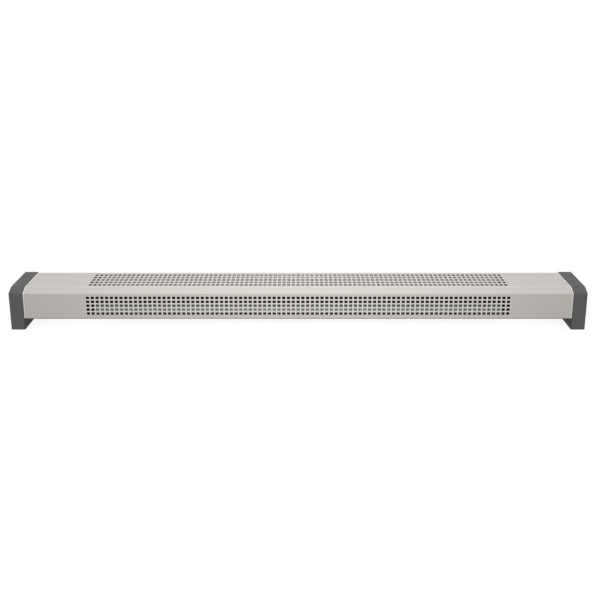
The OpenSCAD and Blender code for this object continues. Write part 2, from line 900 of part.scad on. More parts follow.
module earth_lead() {
  y0 = pole_ys[0];
  color("#8fae3a")
  on_left() lead([
    [block_x + lead_end, y0, insert_z],
    [earth_barrel_x + bend_room, y0, insert_z],
    [earth_barrel_x + lead_bend_r + lead_end, earth_y, in_low + barrel_d / 2],
    [earth_x + ring_d / 2 + gap, earth_y, in_low + barrel_d / 2]
  ]);
}

// a push-on terminal over a blade that points outwards from x
module receptacle(x, y, z) {
  difference() {
    union() {
      block([x + gap, y - receptacle_w / 2, z - receptacle_h / 2],
            [x + gap + receptacle_l, y + receptacle_w / 2, z + receptacle_h / 2]);
      bar(x + receptacle_l, x + gap + receptacle_l + barrel_l, y, z, barrel_d);
    }
    block([x, y - blade_w / 2 - bore_gap, z - blade_t / 2 - bore_gap],
          [x + gap + blade_l - bore_gap, y + blade_w / 2 + bore_gap, z + blade_t / 2 + bore_gap]);
    bar(x + gap + receptacle_l, x + gap + receptacle_l + barrel_l + cut, y, z, lead_bore_d);
  }
}

module lead_receptacles() {
  color("#cfc9b8") {
    receptacle(blade_x, element_y, element_z);
    on_left() {
      receptacle(blade_x, element_y, element_z);
      for (side = [-1, 1]) receptacle(tab_x, cutout_y, cutout_z + side * tab_pitch / 2);
    }
  }
}

module earth_ring() {
  color("#cfc9b8")
  on_left() difference() {
    union() {
      translate([earth_x, earth_y, in_low]) cylinder(h = ring_t, d = ring_d);
      block([earth_x, earth_y - barrel_d / 2, in_low],
            [earth_x + ring_d / 2 + gap, earth_y + barrel_d / 2, in_low + ring_t]);
      bar(earth_x + ring_d / 2 + gap, earth_x + ring_d / 2 + gap + barrel_l, earth_y,
          in_low + barrel_d / 2, barrel_d);
    }
    translate([earth_x, earth_y, in_low - cut])
      cylinder(h = ring_t + 2 * cut, d = earth_d + 2 * bore_gap);
    bar(earth_x + ring_d / 2 + gap, earth_x + ring_d / 2 + barrel_l + gap + cut, earth_y,
        in_low + barrel_d / 2, lead_bore_d);
  }
}

module lead_clips() {
  color("#f0ede6")
  for (share = clip_places_share) difference() {
    block([share * partition_x - clip_w / 2, lead_y - lead_bore_d, lead_z - clip_h / 2],
          [share * partition_x + clip_w / 2, in_back, lead_z + clip_h / 2]);
    bar(share * partition_x - clip_w / 2 - cut, share * partition_x + clip_w / 2 + cut,
        lead_y, lead_z, lead_bore_d);
  }
}

module lead_grommets() {
  color("#303030")
  on_both() difference() {
    union() {
      bar(partition_x - grommet_lip, partition_x, lead_y, lead_z, grommet_d);
      bar(partition_x - grommet_lip, bay_x + grommet_lip, lead_y, lead_z,
          grommet_hole_d - 2 * bore_gap);
      bar(bay_x, bay_x + grommet_lip, lead_y, lead_z, grommet_d);
    }
    bar(partition_x - grommet_lip - cut, bay_x + grommet_lip + cut, lead_y, lead_z, lead_bore_d);
  }
}

module cord_gland() {
  low = in_low - sheet_t - gland_below;
  color("#3a3a3a")
  translate([-gland_x, mid_y, 0]) difference() {
    union() {
      translate([0, 0, low]) cylinder(h = gland_below + sheet_t + gland_above, d = gland_d);
      translate([0, 0, in_low - sheet_t - gland_flange_t])
        cylinder(h = gland_flange_t, d = gland_flange_d);
    }
    translate([0, 0, low - cut])
      cylinder(h = gland_below + sheet_t + gland_above + 2 * cut, d = gland_bore_d);
  }
}

module gland_nut() {
  color("#4a4a4a")
  translate([-gland_x, mid_y, in_low]) difference() {
    cylinder(h = gland_nut_h, d = gland_nut_d, $fn = 6);
    translate([0, 0, -cut]) cylinder(h = gland_nut_h + 2 * cut, d = gland_d + 2 * bore_gap);
  }
}

module cap_screws() {
  color("#8f9193")
  on_both() for (share = cap_screw_places_share)
    translate([half_l + cap_w - recess_deep, mid_y + share * cap_d, cap_screw_z])
      rotate([0, -90, 0]) screw(cap_screw);
}

module lip_screws() {
  color("#8f9193")
  for (share = lip_screw_places_share, y = [case_front + lip_screw_in, panel_back - lip_screw_in])
    translate([share * half_l, y, case_low]) screw(small_screw);
}

module back_screws() {
  color("#8f9193")
  for (share = lip_screw_places_share)
    translate([share * half_l, case_back, case_top - back_lip / 2]) rotate([90, 0, 0])
      screw(small_screw);
}

module tray_screws() {
  color("#8f9193")
  for (place = foot_places)
    translate([place[0], place[1], in_low - sheet_t]) screw(tiny_screw);
}

casing();
rear_panel();
base_tray();
end_cap_left();
end_cap_right();
foot_pads();
end_plate_left();
end_plate_right();
partition_left();
partition_right();
heat_shield();
shield_rivets();
element_body();
element_sheath();
element_core();
element_pins();
element_seals();
element_bushes();
element_clip();
element_supports();
cutout_body();
cutout_cup();
cutout_tabs();
cutout_screws();
terminal_block();
terminal_inserts();
terminal_screws();
block_screws();
earth_bolt();
earth_nuts();
live_lead();
switched_lead();
neutral_lead();
earth_lead();
lead_receptacles();
earth_ring();
lead_clips();
lead_grommets();
cord_gland();
gland_nut();
cap_screws();
lip_screws();
back_screws();
tray_screws();
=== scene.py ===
import json
import math

import bmesh
import bpy
from bpy.props import FloatProperty, FloatVectorProperty, IntProperty, PointerProperty
from mathutils import Matrix, Vector


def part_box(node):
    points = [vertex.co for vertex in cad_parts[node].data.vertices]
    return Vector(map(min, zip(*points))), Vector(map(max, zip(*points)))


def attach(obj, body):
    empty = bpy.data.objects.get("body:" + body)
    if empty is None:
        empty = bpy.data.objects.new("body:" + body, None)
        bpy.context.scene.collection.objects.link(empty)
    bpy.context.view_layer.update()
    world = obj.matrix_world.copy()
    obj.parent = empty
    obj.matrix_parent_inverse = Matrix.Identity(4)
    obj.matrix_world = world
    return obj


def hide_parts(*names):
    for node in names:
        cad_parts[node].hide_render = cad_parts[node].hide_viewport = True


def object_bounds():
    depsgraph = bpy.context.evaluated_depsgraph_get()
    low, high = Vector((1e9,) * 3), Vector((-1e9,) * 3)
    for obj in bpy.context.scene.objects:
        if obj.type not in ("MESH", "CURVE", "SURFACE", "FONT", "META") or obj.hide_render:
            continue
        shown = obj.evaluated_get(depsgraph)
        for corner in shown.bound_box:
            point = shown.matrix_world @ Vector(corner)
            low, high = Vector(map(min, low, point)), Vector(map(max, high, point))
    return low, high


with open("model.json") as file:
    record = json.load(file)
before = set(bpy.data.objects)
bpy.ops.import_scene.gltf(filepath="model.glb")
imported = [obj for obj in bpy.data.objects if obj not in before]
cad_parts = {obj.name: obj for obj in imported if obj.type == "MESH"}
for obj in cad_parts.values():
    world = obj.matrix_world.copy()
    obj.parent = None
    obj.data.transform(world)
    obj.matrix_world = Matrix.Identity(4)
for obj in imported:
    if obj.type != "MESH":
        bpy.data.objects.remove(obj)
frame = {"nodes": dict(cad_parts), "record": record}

bl_info = {
    "name": "Plinth convector heater",
    "version": (1, 0, 0),
    "blender": (4, 5, 0),
    "location": "3D View > Sidebar > Heater",
    "description": "Builds the shown pieces of a plinth convector heater on its CAD frame",
    "category": "Object",
}

NODES = frame["nodes"]
CAD_BOX = [list(corner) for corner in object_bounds()]
CASE_LOW, CASE_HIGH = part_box("casing")
CAP_LOW, CAP_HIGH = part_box("end_cap_right")
PAD_LOW, PAD_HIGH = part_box("foot_pads")
TRAY_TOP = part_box("base_tray")[1].z
DEEP = CAP_HIGH.y - CAP_LOW.y
MM = 0.001
# places closer than this are one place
NEAR = 1e-5
# thickness of the sheet, and the clearance of what fits inside it
SHEET = 1.0 * MM
FIT = 0.3 * MM
# depth and height of the sloped front edge
SLOPE_RUN, SLOPE_RISE = 13.0 * MM, 9.0 * MM
# middle of a foot pad: from the casing's end, and from the heater's middle as a share of its depth
PAD_IN = 14.5 * MM
PAD_SHARE = 0.31
# middle of the sheet of a partition
PARTITION_X = 452.5 * MM
# how far the web over an end cap's leg lies under the top of the tray
WEB_DROP = 1.7 * MM


# ---- values a user would change ----

def length(name, words, default):
    """A length in metres."""
    return FloatProperty(name=name, description=words, default=default, unit="LENGTH", precision=5)


def colour(name, words, default):
    """A linear colour."""
    return FloatVectorProperty(name=name, description=words, default=default, subtype="COLOR",
                               min=0.0, max=1.0)


class HeaterCasingValues(bpy.types.PropertyGroup):
    sheet: length("Sheet", "Thickness of the folded sheet", SHEET)
    fold: length("Fold", "Outer radius of a fold", 1.8 * MM)
    lip: length("Lip", "Width of the lip under the front", 12.0 * MM)
    back_lip: length("Back lip", "Height of the lip at the back", 8.0 * MM)
    run: length("Slope depth", "Depth of the sloped front edge", SLOPE_RUN)
    rise: length("Slope height", "Height of the sloped front edge", SLOPE_RISE)
    pitch_x: length("Column pitch", "Distance between columns of holes", 10.0 * MM)
    pitch_front: length("Front pitch", "Distance between the rows in the front", 8.8 * MM)
    pitch_top: length("Top pitch", "Distance between the rows in the top", 11.0 * MM)
    hole_w: length("Hole width", "Width of a hole along the heater", 7.0 * MM)
    hole_h: length("Front hole height", "Height of a hole in the front", 6.0 * MM)
    hole_d: length("Top hole depth", "Depth of a hole in the top", 7.0 * MM)
    front_margin: length("Front margin", "From the slope to the highest front row", 9.6 * MM)
    top_margin: length("Top margin", "From the slope to the first top row", 8.6 * MM)
    corner: length("Hole corner", "Radius in the corners of a hole", 0.8 * MM)
    soft: length("Edge softness", "Width of the softened edge round a hole", 0.16 * MM)
    columns: IntProperty(name="Columns", description="Number of columns of holes", default=89)
    rows: IntProperty(name="Rows", description="Number of rows in the front and in the top",
                      default=5)
    paint: colour("Paint", "Powder coat of the casing", (0.585, 0.556, 0.524))
    # colour of the painted highlights along the casing's two cut ends, on the webs between the
    # holes and along the upper fold
    edge: colour("Edge", "Paint drawn thin along the ends", (0.86, 0.85, 0.82))
    # painted highlights: how far the webs between the front holes, the webs between the top holes
    # and the upper fold are lightened towards the edge colour
    front_web_highlight: FloatProperty(name="Front web", description="Lightening between the front holes",
                             default=0.42)
    top_web_highlight: FloatProperty(name="Top web", description="Lightening between the top holes",
                           default=0.18)
    fold_highlight: FloatProperty(name="Fold light", description="Lightening along the upper fold",
                              default=0.5)
    # painted shade: the dark colour laid on the inside of the sheet and under the lower front fold
    painted_shade: colour("Primer", "Thin coat on the inside of the sheet", (0.13, 0.125, 0.12))


class HeaterCapValues(bpy.types.PropertyGroup):
    wall: length("Wall", "Wall of an end cap", 3.0 * MM)
    outline: length("Outline radius", "Radius along the outline of an end cap", 1.5 * MM)
    end: length("End radius", "Radius round the outer end", 1.3 * MM)
    inner: length("Inner edge", "Softened edge next to the casing", 0.5 * MM)
    recess: length("Recess", "Diameter of a screw recess", 9.5 * MM)
    deep: length("Recess depth", "Depth of a screw recess", 3.0 * MM)
    web: length("Web", "Height of the web above the leg's hollow", TRAY_TOP - WEB_DROP)
    plastic: colour("Plastic", "Moulded plastic of the end caps", (0.131, 0.130, 0.130))
    # painted shade: the colour laid on the inner side of the leg
    shade: colour("Inner side", "Inner side of the leg, as it left the mould",
                  (0.072, 0.071, 0.071))


class HeaterStudioValues(bpy.types.PropertyGroup):
    lens: length("Lens", "Focal length of the camera", 36.0 * MM)
    distance: length("Distance", "From the camera to the front of the end caps", 1.1588)
    height: length("Height", "Height of the camera above the floor", 0.7017)
    pitch: FloatProperty(name="Pitch", description="How far the camera looks down",
                         default=math.radians(10.2), subtype="ANGLE")
    aside: length("Aside", "Place of the camera along the heater", 0.004)
    shift: FloatProperty(name="Shift", description="Vertical shift of the lens", default=-1 / 3)
    ambient: FloatProperty(name="Ambient", description="Light from all round", default=0.72)
    key: FloatProperty(name="Key", description="Power of the lamp over the front", default=4.6,
                       unit="POWER")
    back: FloatProperty(name="Back", description="Power of the lamp behind", default=2.0,
                        unit="POWER")


# ---- work in object and edit mode ----

def rest():
    """Object mode with nothing selected."""
    if bpy.context.mode != "OBJECT":
        bpy.ops.object.mode_set(mode="OBJECT")
    bpy.ops.object.select_all(action="DESELECT")


def grab(ob):
    """Selects one piece alone."""
    rest()
    ob.select_set(True)
    bpy.context.view_layer.objects.active = ob


def edit(ob):
    """Edit mode on one piece, with all of it selected."""
    grab(ob)
    bpy.ops.object.mode_set(mode="EDIT")
    bpy.ops.mesh.select_all(action="SELECT")


def settle(ob):
    """Puts the piece's place, turn and size into its mesh."""
    grab(ob)
    bpy.ops.object.transform_apply(location=True, rotation=True, scale=True)


def box_from(name, low, high):
    """A box from its lowest to its highest corner."""
    low, high = Vector(low), Vector(high)
    rest()
    bpy.ops.mesh.primitive_cube_add(size=1.0, location=(low + high) / 2)
    ob = bpy.context.object
    ob.name = name
    ob.scale = high - low
    settle(ob)
    return ob


def rod(name, radius, foot, along, sides=32, tip=None):
    """A round bar from its foot along a vector."""
    foot, along = Vector(foot), Vector(along)
    turn = along.to_track_quat("Z", "Y").to_euler()
    rest()
    bpy.ops.mesh.primitive_cone_add(vertices=sides, radius1=radius,
                                    radius2=radius if tip is None else tip, depth=along.length,
                                    location=foot + along / 2, rotation=turn)
    ob = bpy.context.object
    ob.name = name
    settle(ob)
    return ob


def middle(part):
    """The place of a vertex or the middle of a face."""
    return part.co if isinstance(part, bmesh.types.BMVert) else part.calc_center_median()


def pick(kind, test):
    """Selects the vertices, edges or faces of the edited piece that pass a test."""
    bpy.ops.mesh.select_mode(type=kind)
    bpy.ops.mesh.select_all(action="DESELECT")
    mesh = bmesh.from_edit_mesh(bpy.context.object.data)
    parts = {"VERT": mesh.verts, "EDGE": mesh.edges, "FACE": mesh.faces}[kind]
    found = [part for part in parts if test(part)]
    if not found:
        raise RuntimeError("nothing to select on " + bpy.context.object.name)
    for part in found:
        part.select_set(True)
    mesh.select_flush_mode()
    bmesh.update_edit_mesh(bpy.context.object.data)


def pull(x=0.0, y=0.0, z=0.0):
    """Extrudes what is selected."""
    bpy.ops.mesh.extrude_region_move(TRANSFORM_OT_translate={"value": (x, y, z)})


def modify(ob, kind, **values):
    """Adds a modifier with its values and applies it."""
    grab(ob)
    mod = ob.modifiers.new(kind.lower(), kind)
    for key, value in values.items():
        setattr(mod, key, value)
    bpy.ops.object.modifier_apply(modifier=mod.name)


def tidy(ob, near=0.01 * MM, flat=math.radians(0.2)):
    """Merges doubles and takes out slivers and edges that lie in one flat face."""
    edit(ob)
    bpy.ops.mesh.remove_doubles(threshold=near)
    bpy.ops.mesh.dissolve_limited(angle_limit=flat)
    bpy.ops.mesh.dissolve_degenerate(threshold=near)
    rest()


def carve(ob, tool, operation="DIFFERENCE"):
    """Takes a tool's shape out of a piece, or adds it, and removes the tool."""
    modify(ob, "BOOLEAN", object=tool, operation=operation, solver="EXACT")
    bpy.data.objects.remove(tool)


def join(name, pieces):
    """Makes one object of several."""
    rest()
    for ob in pieces:
        ob.select_set(True)
    bpy.context.view_layer.objects.active = pieces[0]
    bpy.ops.object.join()
    ob = bpy.context.object
    ob.name = name
    return ob


def twin(ob, name, matrix):
    """A copy with its own mesh, moved by a matrix."""
    copy = ob.copy()
    copy.data = ob.data.copy()
    copy.name = name
    bpy.context.scene.collection.objects.link(copy)
    copy.matrix_world = matrix
    settle(copy)
    if matrix.determinant() < 0:
        edit(copy)
        bpy.ops.mesh.normals_make_consistent(inside=False)
        rest()
    return copy


def smooth(ob, angle=40.0, flat=1.0):
    """Smooth shading, but flat on every face larger than an area in square metres."""
    grab(ob)
    bpy.ops.object.shade_smooth_by_angle(angle=math.radians(angle))
    for face in ob.data.polygons:
        if face.area > flat:
            face.use_smooth = False
    modify(ob, "WEIGHTED_NORMAL", keep_sharp=True, weight=80)


def hand_in(ob, mat, slot, *nodes):
    """Rides on the root, stands for its nodes and gets its finish."""
    ob.data.materials.clear()
    ob.data.materials.append(mat)
    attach(ob, "root")
    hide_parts(*nodes)
    rest()


# ---- sections ----

def arc(before, corner, after, radius, steps):
    """Points of the arc that rounds a corner."""
    corner = Vector(corner)
    u, w = (Vector(before) - corner).normalized(), (Vector(after) - corner).normalized()
    half = u.angle(w) / 2
    centre = corner + (u + w).normalized() * radius / math.sin(half)
    first, last = ((corner + way * radius / math.tan(half) - centre).normalized() for way in (u, w))
    return [centre + first.slerp(last, i / steps) * radius for i in range(steps + 1)]


def outward(run, rise):
    """Normal of the sloped front edge, out of the heater."""
    return Vector((0.0, -rise, run)).normalized()


def house(name, x0, x1, front, back, low, top, on_slope, inwards=0.0):
    """A block with the sloped front edge cut off, its slope moved in."""
    ob = box_from(name, (x0, front, low), (x1, back, top))
    normal = outward(SLOPE_RUN, SLOPE_RISE)
    edit(ob)
    bpy.ops.mesh.bisect(plane_co=Vector((0.0, *on_slope)) - normal * inwards, plane_no=normal,
                        use_fill=True, clear_outer=True)
    rest()
    return ob


# ---- finishes ----

def feed(tree, socket, value):
    """Links an output to a socket, or sets the socket to a constant."""
    if isinstance(value, bpy.types.NodeSocket):
        tree.links.new(value, socket)
    else:
        socket.default_value = value


def ramp(tree, source, low=0.0, high=1.0, start=0.0, end=1.0, way="LINEAR"):
    """Runs from low to high while the source runs from start to end."""
    node = tree.nodes.new("ShaderNodeMapRange")
    node.interpolation_type = way
    for name, value in (("Value", source), ("From Min", start), ("From Max", end),
                        ("To Min", low), ("To Max", high)):
        feed(tree, node.inputs[name], value)
    return node.outputs["Result"]


def mixed(tree, factor, first, second):
    """Mixes two colours, each an output or a constant."""
    node = tree.nodes.new("ShaderNodeMix")
    node.data_type = "RGBA"
    feed(tree, node.inputs["Factor"], factor)
    for name, value in (("A", first), ("B", second)):
        linked = isinstance(value, bpy.types.NodeSocket)
        feed(tree, node.inputs[name], value if linked else (*value, 1.0))
    return node.outputs["Result"]


def noise(tree, place, scale, detail=3.0):
    """Cloudy values from 0 to 1."""
    node = tree.nodes.new("ShaderNodeTexNoise")
    node.inputs["Scale"].default_value = scale
    node.inputs["Detail"].default_value = detail
    tree.links.new(place, node.inputs["Vector"])
    return node.outputs["Fac"]


def place_on(tree, stretch=(1.0, 1.0, 1.0)):
    """Place on the heater, in metres, with each axis scaled."""
    where = tree.nodes.new("ShaderNodeTexCoord")
    mapping = tree.nodes.new("ShaderNodeMapping")
    mapping.inputs["Scale"].default_value = stretch
    tree.links.new(where.outputs["Object"], mapping.inputs["Vector"])
    return mapping.outputs["Vector"]


def combine(tree, way, *values):
    """One step of arithmetic on outputs and constants."""
    node = tree.nodes.new("ShaderNodeMath")
    node.operation = way
    for socket, value in zip(node.inputs, values):
        feed(tree, socket, value)
    return node.outputs["Value"]


def on_vectors(tree, way, first, second):
    """One step of arithmetic on vectors, whose result is a number or a vector."""
    node = tree.nodes.new("ShaderNodeVectorMath")
    node.operation = way
    feed(tree, node.inputs[0], first)
    feed(tree, node.inputs[1], second)
    return node.outputs["Vector" if way == "MULTIPLY" else "Value"]


def fade(tree, axis, start, end, mirrored=False):
    """0 at a place along an axis to 1 at another, on both sides of the middle if mirrored."""
    split = tree.nodes.new("ShaderNodeSeparateXYZ")
    tree.links.new(place_on(tree), split.inputs["Vector"])
    value = split.outputs[axis]
    if mirrored:
        value = combine(tree, "ABSOLUTE", value)
    return ramp(tree, value, start=start, end=end)


def recolour(mat, mask, shade):
    """Lays a colour over a finish where a mask says."""
    shader = mat.node_tree.nodes["Principled BSDF"]
    body = shader.inputs["Base Color"].links[0].from_socket
    mat.node_tree.links.new(mixed(mat.node_tree, mask, body, shade), shader.inputs["Base Color"])


def edge_wear_and_light(tree, body, edge, radius, turns=(0.995, 0.95), scale=160.0, least=0.5):
    """Mixes an edge colour in where the surface turns, unevenly: a lighter colour is wear and a
    painted highlight, a darker one is painted shade.
    """
    bevel = tree.nodes.new("ShaderNodeBevel")
    bevel.inputs["Radius"].default_value = radius
    flat = tree.nodes.new("ShaderNodeNewGeometry")
    turn = on_vectors(tree, "DOT_PRODUCT", bevel.outputs["Normal"], flat.outputs["Normal"])
    near = ramp(tree, turn, start=turns[0], end=turns[1])
    uneven = ramp(tree, noise(tree, place_on(tree), scale), least)
    return mixed(tree, combine(tree, "MULTIPLY", near, uneven), body, edge)


def finish(name, base, metal=0.0, rough=(0.4, 0.5), shade=(0.95, 1.03), broad=18.0, grain=900.0,
           relief=0.04 * MM, stretch=(1.0, 1.0, 1.0), spangle=0.0, gloss=0.5, edge=1.25,
           edge_w=0.4 * MM):
    """A finish whose colour, gloss and relief vary over the piece; along its edges an edge share
    above 1 lightens it as wear and painted highlight, one below 1 darkens it as painted shade.
    """
    mat = bpy.data.materials.new(name)
    mat.use_nodes = True
    tree = mat.node_tree
    shader = tree.nodes["Principled BSDF"]
    shader.inputs["Metallic"].default_value = metal
    shader.inputs["Specular IOR Level"].default_value = gloss
    place = place_on(tree, stretch)
    wide, fine = noise(tree, place, broad), noise(tree, place, grain, 2.0)
    if spangle:
        cells = tree.nodes.new("ShaderNodeTexVoronoi")
        cells.inputs["Scale"].default_value = spangle
        tree.links.new(place, cells.inputs["Vector"])
        split = tree.nodes.new("ShaderNodeSeparateColor")
        tree.links.new(cells.outputs["Color"], split.inputs["Color"])
        wide = split.outputs["Red"]
    dark, light, rim = ([min(1.0, c * share) for c in base] for share in (*shade, edge))
    body = edge_wear_and_light(tree, mixed(tree, wide, dark, light), rim, edge_w)
    tree.links.new(body, shader.inputs["Base Color"])
    tree.links.new(ramp(tree, wide if spangle else fine, *rough), shader.inputs["Roughness"])
    bump = tree.nodes.new("ShaderNodeBump")
    bump.inputs["Distance"].default_value = relief
    tree.links.new(fine, bump.inputs["Height"])
    tree.links.new(bump.outputs["Normal"], shader.inputs["Normal"])
    return mat


def inside(tree, low, high, run, rise, depth):
    """1 on what lies deeper than a depth under the folded outline, 0 above it."""
    place = place_on(tree)
    shallowest = None
    for way, point in ((Vector((0, -1, 0)), low), (Vector((0, 1, 0)), high),
                       (Vector((0, 0, 1)), high), (Vector((0, 0, -1)), low),
                       (outward(run, rise), Vector((0, low.y, high.z - rise)))):
        off = combine(tree, "SUBTRACT", on_vectors(tree, "DOT_PRODUCT", place, way), way.dot(point))
        shallowest = off if shallowest is None else combine(tree, "MAXIMUM", shallowest, off)
    return combine(tree, "LESS_THAN", shallowest, -depth)


def paint_finish(v):
    """Powder coat with painted highlights along the casing's two cut ends, on the webs between the
    holes and along the upper fold, and painted shade inside the sheet and under the lower front
    fold.
    """
    end_clear, end_full = 2.6 * MM, 1.8 * MM
    fold_shade_clear, fold_shade_full = 2.5 * MM, 1.6 * MM
    skin_clear, skin_full = 0.9 * MM, 0.8 * MM
    coat_share = 0.55
    # the edge share of 1.25 over 0.8 mm lightens the paint where it turns round the holes: a
    # painted highlight
    mat = finish("powder_coat", v.paint, rough=(0.42, 0.54), shade=(0.985, 1.012), broad=9.0,
                 grain=1300.0, relief=0.05 * MM, gloss=0.35, edge=1.25, edge_w=0.8 * MM)
    tree = mat.node_tree
    # painted highlight on the webs between the holes and along the upper fold, read from the faces'
    # light attribute
    light = tree.nodes.new("ShaderNodeAttribute")
    light.attribute_name = "light"
    recolour(mat, light.outputs["Fac"], v.edge)
    # painted highlight along the two cut ends
    ends = fade(tree, "X", CASE_HIGH.x - end_clear, CASE_HIGH.x - end_full, True)
    recolour(mat, ends, v.edge)
    # painted shade on the lower front fold where it turns under
    fold_shade = fade(tree, "Z", CASE_LOW.z + fold_shade_clear, CASE_LOW.z + fold_shade_full)
    skin = fade(tree, "Y", CASE_LOW.y + skin_clear, CASE_LOW.y + skin_full)
    recolour(mat, combine(tree, "MULTIPLY", fold_shade, skin), v.painted_shade)
    # painted shade on the inside of the sheet
    deep = inside(tree, CASE_LOW, CASE_HIGH, v.run, v.rise, coat_share * v.sheet)
    recolour(mat, deep, v.painted_shade)
    return mat


# finish of each slot: colour, metal, then roughness, shade, broad and fine scale, relief and, where
# they differ from none, stretch and spangle
FINISHES = {
    "galvanised": ((0.50, 0.51, 0.52), 0.85, (0.38, 0.52), (0.90, 1.06),
                   9.0, 700.0, 2e-5, (1, 1, 1), 90.0),
    "bright_aluminium": ((0.62, 0.63, 0.64), 0.9, (0.22, 0.32), (0.96, 1.02),
                         8.0, 500.0, 2e-5, (0.04, 1, 1)),
    "extruded_aluminium": ((0.42, 0.422, 0.425), 0.4, (0.5, 0.62), (0.93, 1.04),
                           9.0, 800.0, 3e-5, (0.02, 1, 1)),
    "stainless": ((0.30, 0.29, 0.28), 0.9, (0.30, 0.42), (0.88, 1.05),
                  14.0, 900.0, 1e-5, (0.05, 1, 1)),
    "heat_tinted_steel": ((0.10, 0.097, 0.094), 0.6, (0.48, 0.60), (0.85, 1.1), 30.0, 900.0, 2e-5),
    "mineral_core": ((0.78, 0.76, 0.70), 0.0, (0.85, 0.95), (0.94, 1.03), 60.0, 2600.0, 9e-5),
    "nickelled": ((0.62, 0.59, 0.52), 1.0, (0.20, 0.30), (0.96, 1.02), 40.0, 900.0, 1e-5),
    "seal": ((0.66, 0.60, 0.50), 0.0, (0.55, 0.65), (0.95, 1.03), 80.0, 1500.0, 3e-5),
    "ceramic": ((0.83, 0.81, 0.76), 0.0, (0.16, 0.24), (0.97, 1.02), 60.0, 700.0, 2e-5),
    "spring_steel": ((0.14, 0.145, 0.15), 0.9, (0.34, 0.44), (0.9, 1.06), 90.0, 1200.0, 1e-5),
    "phenolic": ((0.040, 0.022, 0.015), 0.0, (0.34, 0.44), (0.9, 1.1), 120.0, 1600.0, 2e-5),
    "brass": ((0.62, 0.42, 0.12), 1.0, (0.24, 0.34), (0.94, 1.03), 90.0, 1300.0, 1e-5),
    "zinc_steel": ((0.44, 0.45, 0.46), 0.95, (0.30, 0.42), (0.90, 1.06), 160.0, 1500.0, 1e-5),
    "block_plastic": ((0.80, 0.78, 0.70), 0.0, (0.30, 0.38), (0.97, 1.02), 50.0, 1200.0, 1e-5),
    "brown_lead": ((0.105, 0.036, 0.014), 0.0, (0.48, 0.58), (0.92, 1.06), 60.0, 1800.0, 2e-5),
    "blue_lead": ((0.024, 0.094, 0.31), 0.0, (0.48, 0.58), (0.92, 1.06), 60.0, 1800.0, 2e-5),
    "tinned": ((0.60, 0.59, 0.54), 1.0, (0.28, 0.40), (0.94, 1.04), 120.0, 1200.0, 1e-5),
    "clip_plastic": ((0.80, 0.79, 0.75), 0.0, (0.34, 0.42), (0.97, 1.02), 80.0, 1400.0, 1e-5),
    "black_rubber": ((0.012, 0.012, 0.012), 0.0, (0.68, 0.80), (0.9, 1.15), 90.0, 2400.0, 6e-5),
    "gland_plastic": ((0.022, 0.022, 0.022), 0.0, (0.46, 0.56), (0.9, 1.12), 90.0, 2000.0, 3e-5),
}
# near-black colour of painted shade, laid on faces that lie in shade near the element's ends
PAINTED_SHADE_BLACK = (0.02, 0.02, 0.02)


def earth_finish():
    """Green insulation with a yellow stripe that winds along the lead."""
    green, yellow, stripes = (0.16, 0.34, 0.03), (0.75, 0.60, 0.04), 130.0
    mat = finish("earth_lead_finish", green, rough=(0.48, 0.58), shade=(0.95, 1.05), broad=60.0,
                 grain=1800.0, relief=0.02 * MM)
    tree = mat.node_tree
    wave = tree.nodes.new("ShaderNodeTexWave")
    wave.bands_direction = "DIAGONAL"
    wave.inputs["Scale"].default_value = stripes
    tree.links.new(place_on(tree), wave.inputs["Vector"])
    recolour(mat, combine(tree, "GREATER_THAN", wave.outputs["Fac"], 0.5), yellow)
    return mat


def element_finish():
    """Extruded aluminium with painted shade that darkens it towards the hub."""
    clear, full, hub = 27 * MM, 15 * MM, (0.02, 0.019, 0.018)
    mat = finish("extruded_aluminium_finish", *FINISHES["extruded_aluminium"])
    tree = mat.node_tree
    low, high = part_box("element_sheath")
    across = Vector((0.0, 1.0, 1.0))
    section = on_vectors(tree, "MULTIPLY", place_on(tree), across)
    reach = on_vectors(tree, "DISTANCE", section, (low + high) / 2 * across)
    # painted shade: near-black towards the hub, where the arms meet
    recolour(mat, ramp(tree, reach, start=clear, end=full, way="SMOOTHSTEP"), hub)
    return mat


def tray_finish():
    """Galvanised sheet made lighter than the other galvanised sheet as painted light, with painted
    shade on its upper side at the front and black painted shade at both ends.
    """
    lit_galvanised, front_shade = (0.74, 0.75, 0.76), (0.38, 0.38, 0.38)
    front_clear, front_full = -10 * MM, -14 * MM
    end_clear, end_full = 436 * MM, 442 * MM
    skin_clear, skin_full = 0.6 * MM, 0.4 * MM
    # painted light: the tray is lighter than the galvanised finish of the other sheet
    mat = finish("tray_finish", lit_galvanised, *FINISHES["galvanised"][1:])
    tree = mat.node_tree
    front = fade(tree, "Y", front_clear, front_full)
    ends = fade(tree, "X", end_clear, end_full, True)
    upper = fade(tree, "Z", TRAY_TOP - skin_clear, TRAY_TOP - skin_full)
    # painted shade on the upper side towards the front
    recolour(mat, combine(tree, "MULTIPLY", front, upper), front_shade)
    # black painted shade on the upper side at both ends
    recolour(mat, combine(tree, "MULTIPLY", ends, upper), PAINTED_SHADE_BLACK)
    return mat


def shield_finish():
    """Bright aluminium with black painted shade at both ends."""
    clear, full = 428 * MM, 434 * MM
    mat = finish("shield_finish", *FINISHES["bright_aluminium"])
    recolour(mat, fade(mat.node_tree, "X", clear, full, True), PAINTED_SHADE_BLACK)
    return mat


def shaded_towards_element(name, look):
    """A finish with black painted shade on the side of the partition that faces the element."""
    mat = finish(name, *FINISHES[look])
    recolour(mat, fade(mat.node_tree, "X", PARTITION_X + FIT, PARTITION_X - FIT, True), PAINTED_SHADE_BLACK)
    return mat


def partition_finish():
    """Heat-tinted sheet with black painted shade towards the element."""
    return shaded_towards_element("partition_finish", "heat_tinted_steel")


def bush_finish():
    """Glazed ceramic with black painted shade towards the element."""
    return shaded_towards_element("bush_finish", "ceramic")


